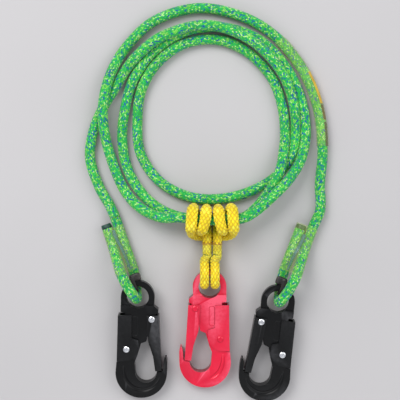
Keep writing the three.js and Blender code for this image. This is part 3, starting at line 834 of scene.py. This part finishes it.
class LANYARD_OT_main_rope(bpy.types.Operator):
    """The free rope between the two sewn eyes, with its label and the label's clear sleeve"""

    bl_idname = "lanyard.main_rope"
    bl_label = "Main Rope"

    def execute(self, context):
        s = rope_settings()
        path = spline(rope_route(), 0.002) + SHIFT
        length = float(np.linalg.norm(np.diff(path, axis=0), axis=1).sum())
        step = length / ROPE_ROWS
        rope, line = braided_tube(
            "rope_main", path, s.rope_radius, s.rope_cells, 2 * step, step, s.braid_depth, 54,
            YARN_BUNDLE,
        )
        finish(rope, "rope")
        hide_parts("main_rope")
        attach(rope, "lanyard")
        pieces = self.label(line, s.rope_radius)
        return {"FINISHED"}

    def label(self, line, radius):
        """The label's bands, and over them a wider tube whose radius ripples along its length."""
        count = len(line) - 1
        pieces = []
        for finish_name, start, end in LABEL_BANDS:
            rows = slice(int(count * start), int(count * end))
            band = self.band(finish_name + "_band", line[rows], radius + LABEL_GAP)
            finish(band, finish_name)
            pieces.append(band)
        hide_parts("identification_label")
        for piece in pieces:
            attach(piece, "lanyard")
        columns, ripple, thickness = 40, 0.00012, 0.0003
        rows = slice(*(int(count * part) for part in LABEL_SLEEVE))
        t = np.linspace(0, 1, rows.stop - rows.start)[:, None]
        lobes = 2 * np.cos(6 * np.pi * np.arange(columns) / columns)[None]
        swell = radius + LABEL_SLEEVE_GAP + ripple * np.sin(34 * t + lobes) * np.sin(np.pi * t)
        centre, ring = line[rows][:, None], rings(line, columns)[rows]
        outer = centre + (swell + thickness)[..., None] * ring
        sleeve = shell("label_clear_sleeve", outer, centre + swell[..., None] * ring)
        finish(sleeve, "film")
        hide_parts("label_sleeve")
        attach(sleeve, "lanyard")
        return pieces + [sleeve]

    def band(self, name, centre, inner):
        """A strip of film round the rope's outer and lower side: an arc of a tube with closed edges.

        Each ring runs along the outer arc, from below to a little above the side, and back along
        the inner arc.
        """
        tangent = np.gradient(centre, axis=0)
        out = np.cross(tangent, UP)
        out /= np.linalg.norm(out, axis=1, keepdims=True)
        away = centre[:, :2] - SHIFT[:2] - COIL
        out *= np.sign((out[:, :2] * away).sum(axis=1))[:, None]
        arc = np.radians(np.linspace(-125, 60, 28))
        angle = np.concatenate([arc, arc[::-1]])
        radii = np.repeat([inner + 0.0003, inner], len(arc))
        ring = np.cos(angle)[None, :, None] * out[:, None] + np.sin(angle)[None, :, None] * UP
        points = centre[:, None] + radii[None, :, None] * ring
        obj = closed_tube(name, points, smooth=False)
        turn_outwards(obj)
        return obj


class LANYARD_OT_sewn_eyes(bpy.types.Operator):
    """Both sewn eyes: rope, stitching, melted tail, thimble and clear sleeve"""

    bl_idname = "lanyard.sewn_eyes"
    bl_label = "Sewn Eyes"

    def execute(self, context):
        s = rope_settings()
        for side in SIDES:
            path = spline(eye_route(side), 0.001) + SHIFT
            rope, _ = braided_tube(
                side + "_eye_braid", path, s.rope_radius, s.rope_cells, 0.00282, 0.00071,
                s.braid_depth, 72, YARN_BUNDLE,
            )
            finish(rope, "rope")
            self.keep(rope, side + "_eye_rope", "rope_braid")
            self.thread(side)
            self.tail(side, s.rope_radius)
            thimble = refined_copy(side + "_thimble", 0.00035)
            finish(thimble, "thimble")
            self.keep(thimble, side + "_thimble", "thimble_black")
            self.saddle(side)
            self.sleeve(side, s)
        return {"FINISHED"}

    def keep(self, piece, node, slot):
        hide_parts(node)
        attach(piece, "lanyard")

    def saddle(self, side):
        """The thimble's moulded saddle over the rear leg: a superellipsoid.

        Each of its three coordinates is a product of sines and cosines of two angles, raised to a
        small power that squares the shape, and a shallow dip runs along its top.
        """
        centre, half, squareness = (0.0213, -0.0062, 0.0190), (0.0048, 0.0064, 0.0040), 0.45
        dip_depth, dip_width = 0.0009, 0.0022
        rows, columns = 22, 44
        polar = np.linspace(-np.pi / 2, np.pi / 2, rows)[:, None]
        turn = (2 * np.pi * np.arange(columns) / columns)[None]

        def squared(wave):
            return np.sign(wave) * np.abs(wave) ** squareness

        ring = squared(np.cos(polar))
        a = centre[0] + half[0] * ring * squared(np.cos(turn))
        u = centre[1] + half[1] * ring * squared(np.sin(turn))
        z = centre[2] + half[2] * squared(np.sin(polar)) * np.ones_like(turn)
        z = z - dip_depth * np.exp(-(((u - centre[1]) / dip_width) ** 2)) * (z > centre[2])
        grid = np.stack(eye_point(side, a, u, z), axis=-1).reshape(-1, 3) + SHIFT
        obj = new_object(side + "_thimble_saddle", grid, grid_faces(rows, columns).tolist())
        turn_outwards(obj, merge=1e-6)
        finish(obj, "thimble")
        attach(obj, "lanyard")

    def thread(self, side):
        """A close zigzag thread in the groove: a triangle wave across it, carried along the legs."""
        pitch, half_width, height, thickness = 0.0016, 0.0021, 0.0054, 0.00052
        a = np.linspace(SLEEVE_RANGE[side][0] + 0.002, 0.080, 420)
        wave = 2 * np.abs(((a / pitch) % 1) * 2 - 1) - 1
        rise = front_height(a) - LEG_Z
        width = np.hypot(2 * LEG_OFFSET, rise)
        across = np.stack([2 * LEG_OFFSET / width, rise / width])
        along = half_width * wave
        u = along * across[0] - height * across[1]
        z = LEG_Z + rise / 2 + along * across[1] + height * across[0]
        path = np.array([eye_point(side, *p) for p in zip(a, u, z)]) + SHIFT
        thread = plain_tube(side + "_stitch_thread", path, thickness, 6)
        finish(thread, "thread")
        self.keep(thread, side + "_stitching", "stitching_teal")

    def tail(self, side, radius):
        """The melted tail: a short plug whose edge swells and whose face is slightly domed."""
        u = LEG_OFFSET if side == "left" else -LEG_OFFSET
        start, end = TAIL_END, TAIL_END + END_GAP + 0.0044
        t = np.linspace(0, 1, 14)
        path = np.array([eye_point(side, start + (end - start) * k, u, LEG_Z) for k in t]) + SHIFT
        swell, dome = np.sin(np.pi * np.minimum(t * 1.3, 1)), np.maximum(t - 0.8, 0) ** 1.2
        radii = radius * (0.93 + 0.06 * swell - 0.5 * dome)
        plug = plain_tube(side + "_melted_tail", path, radii, 40)
        finish(plug, "seal")
        self.keep(plug, side + "_tail_seal", "tail_seal")

    def sleeve(self, side, s):
        """The clear sleeve: slot-shaped rings that follow both legs."""
        stations = np.linspace(*SLEEVE_RANGE[side], 50)
        inner = s.rope_radius + s.sleeve_gap
        outer = leg_rings(side, stations, inner + 0.0004)
        inside = leg_rings(side, stations, inner)
        sleeve = shell(side + "_clear_sleeve", outer, inside)
        finish(sleeve, "film")
        self.keep(sleeve, side + "_eye_sleeve", "clear_sleeve")


class LANYARD_OT_hitch(bpy.types.Operator):
    """The yellow friction hitch: wraps, two sewn eyes, scorched throats and clear sleeves"""

    bl_idname = "lanyard.hitch"
    bl_label = "Friction Hitch"

    def execute(self, context):
        s = rope_settings()
        path = spline(hitch_route(), 0.001) + SHIFT
        wraps, line = braided_tube("hitch_wraps", path, s.cord_radius, s.cord_cells, *CORD_BRAID)
        self.press(wraps, line)
        self.keep(wraps, "cord", "hitch_cord", "hitch_cord_yellow")
        for side, sign in (("left", -1), ("right", 1)):
            path = spline(hitch_eye_route(sign), 0.001) + SHIFT
            eye, _ = braided_tube(
                "hitch_" + side + "_sewn_eye", path, s.cord_radius, s.cord_cells, *CORD_BRAID
            )
            self.keep(eye, "cord", "hitch_" + side + "_eye", "hitch_cord_yellow")
            self.throat(side, sign, s.cord_radius)
        return {"FINISHED"}

    def press(self, wraps, line):
        """Widens the wraps where they cross on top, as a soft cord flattens under load.

        Each ring's offset along x grows by a smooth step of its height, and less where the cord
        runs along x.
        """
        rows = len(line)
        points = np.empty(3 * len(wraps.data.vertices))
        wraps.data.vertices.foreach_get("co", points)
        points = points.reshape(rows, -1, 3)
        tangent, _, _ = carried_frames(line)
        rise = np.clip((line[:, 2] - 0.026) / 0.012, 0, 1)
        spread = 0.27 * (1 - np.abs(tangent[:, 0])) * rise * rise * (3 - 2 * rise)
        points[..., 0] += (points[..., 0] - line[:, None, 0]) * spread[:, None]
        wraps.data.vertices.foreach_set("co", points.ravel())
        wraps.data.update()

    def throat(self, side, sign, radius):
        """A clear sleeve over each leg and its eye, and the browned, shrunk edge at the sleeve's top.

        Both are rings carried along the leg.
        """
        eye = hitch_eye_route(sign)[:4]
        leg_x = HITCH[0] + sign * HITCH_LEG
        leg = [[leg_x, HITCH[1] - 0.025, 0.0153], [leg_x, HITCH[1] - 0.032, 0.0146]]
        line = spline(leg + eye, 0.0005) + SHIFT
        ring = rings(line, 36)
        for kind, finish_name, rows, gap in (
            ("clear_sleeve", "film", slice(2, len(line)), 0.00012),
            ("scorched_edge", "scorched", slice(0, 7), 0.00006),
        ):
            centre = line[rows][:, None]
            outer = centre + (radius + gap + FILM) * ring[rows]
            piece = shell("hitch_" + side + "_" + kind, outer, centre + (radius + gap) * ring[rows])
            self.keep(piece, finish_name, None, "clear_sleeve")

    def keep(self, piece, finish_name, node, slot):
        finish(piece, finish_name)
        if node:
            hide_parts(node)
        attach(piece, "hitch")


class LANYARD_OT_hooks(bpy.types.Operator):
    """Three double-locking snap hooks with grooved bowls, folded gates and levers, rivets and springs"""

    bl_idname = "lanyard.hooks"
    bl_label = "Snap Hooks"

    def execute(self, context):
        s = context.scene.lanyard_hook
        for name in HOOK_NAMES:
            coat = "red" if name == "middle" else "black"
            slot = coat + "_coat"
            body = refined_copy(name + "_hook_body", s.edge_radius, 4)
            origin, above = hook_to_world(name, [(0, 0, 0), (0, 0, 1)])
            carve(body, self.relief_tools(name, s), above - origin)
            self.keep(body, coat, name + "_hook_body", name + "_hook", slot)
            frame_mark = self.web_frame(name)
            finish(frame_mark, coat)
            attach(frame_mark, name + "_hook")
            for piece, part in (("gate", "_gate_part"), ("lock_lever", "_lever_part")):
                sheet = refined_copy(name + "_" + piece, s.sheet_radius)
                self.keep(sheet, coat, name + "_" + piece, name + part, slot)
            for piece in ("gate_rivet", "lever_rivet"):
                rivet = refined_copy(name + "_" + piece, 0.0004)
                look, metal = ("red", slot) if name == "middle" else ("rivet", "rivet_steel")
                self.keep(rivet, look, name + "_" + piece, name + "_hook", metal)
            for piece in ("gate_spring", "lever_spring"):
                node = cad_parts[name + "_" + piece]
                finish(node, "spring")
        return {"FINISHED"}

    def keep(self, piece, finish_name, node, body, slot):
        finish(piece, finish_name)
        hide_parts(node)
        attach(piece, body)

    def web_frame(self, name):
        """A raised blank frame on the web: a half-sunk tube along a rounded rectangle.

        The rectangle is a superellipse, whose sides bow out a little.
        """
        rows, columns = 96, 10
        middle, half, squareness, thickness = (0.0026, -0.0327, 0.00583), (0.0031, 0.0108), 0.3, 0.00042
        turn = 2 * np.pi * np.arange(rows) / rows
        x = middle[0] + half[0] * np.sign(np.cos(turn)) * np.abs(np.cos(turn)) ** squareness
        y = middle[1] + half[1] * np.sign(np.sin(turn)) * np.abs(np.sin(turn)) ** squareness
        centre = np.stack([x, y, np.full(rows, middle[2])], axis=1)
        out = np.stack([np.cos(turn), np.sin(turn), np.zeros(rows)], axis=1)
        angle = 2 * np.pi * np.arange(columns)[None, :, None] / columns
        circle = np.cos(angle) * out[:, None] + np.sin(angle) * UP
        tube = centre[:, None] + thickness * circle
        faces = grid_faces(rows, columns)
        last = grid_faces(2, columns)
        wrap = np.where(last >= columns, last - columns, last + (rows - 1) * columns)
        points = hook_to_world(name, tube.reshape(-1, 3))
        obj = new_object(name + "_web_frame", points, np.vstack([faces, wrap]).tolist())
        turn_outwards(obj)
        return obj

    def relief_tools(self, name, s):
        """Tools for the grooves in both faces of the bowl: round tubes that thin out at their ends."""
        plan = [
            (0.0152, -0.0760), (0.0150, -0.0860), (0.0125, -0.0945), (0.0068, -0.1015),
            (-0.0010, -0.1056), (-0.0095, -0.1062), (-0.0175, -0.1030), (-0.0235, -0.0970),
            (-0.0268, -0.0895),
        ]
        if name == "middle":
            plan = plan[:SHORT_GROOVE]
        tools = []
        for face in (1, -1):
            path = spline([(x, y, face * GROOVE_HEIGHT) for x, y in plan], 0.0012)
            t = np.linspace(0, 1, len(path))
            radii = s.groove_radius * (0.25 + 0.75 * np.sin(np.pi * np.clip(t, 0.02, 0.98)) ** 0.35)
            tool = plain_tube("groove_tool", path, radii, 20)
            local = np.empty(3 * len(tool.data.vertices))
            tool.data.vertices.foreach_get("co", local)
            placed = hook_to_world(name, local.reshape(-1, 3))
            tool.data.vertices.foreach_set("co", placed.ravel())
            if HOOK_PLACES[name]["spine"] < 0:
                tool.data.flip_normals()
            tool.data.update()
            tools.append(tool)
        return tools


class LANYARD_PT_panel(bpy.types.Panel):
    """Lists the lanyard's operators"""

    bl_label = "Rope Lanyard"
    bl_space_type = "VIEW_3D"
    bl_region_type = "UI"
    bl_category = "Lanyard"

    def draw(self, context):
        for operator in OPERATORS:
            self.layout.operator(operator.bl_idname)


OPERATORS = (
    LANYARD_OT_stage, LANYARD_OT_main_rope, LANYARD_OT_sewn_eyes, LANYARD_OT_hitch, LANYARD_OT_hooks,
)
SETTINGS = {
    "lanyard_rope": LanyardRopeSettings,
    "lanyard_hook": LanyardHookSettings,
    "lanyard_stage": LanyardStageSettings,
}


def register():
    for cls in (*SETTINGS.values(), *OPERATORS, LANYARD_PT_panel):
        bpy.utils.register_class(cls)
    for name, cls in SETTINGS.items():
        setattr(bpy.types.Scene, name, bpy.props.PointerProperty(type=cls))


def unregister():
    for name in SETTINGS:
        delattr(bpy.types.Scene, name)
    for cls in (LANYARD_PT_panel, *reversed(OPERATORS), *reversed(tuple(SETTINGS.values()))):
        bpy.utils.unregister_class(cls)


def main():
    register()
    make_finishes()
    bpy.ops.lanyard.stage()
    bpy.ops.lanyard.main_rope()
    bpy.ops.lanyard.sewn_eyes()
    bpy.ops.lanyard.hitch()
    bpy.ops.lanyard.hooks()


if __name__ == "__main__":
    main()
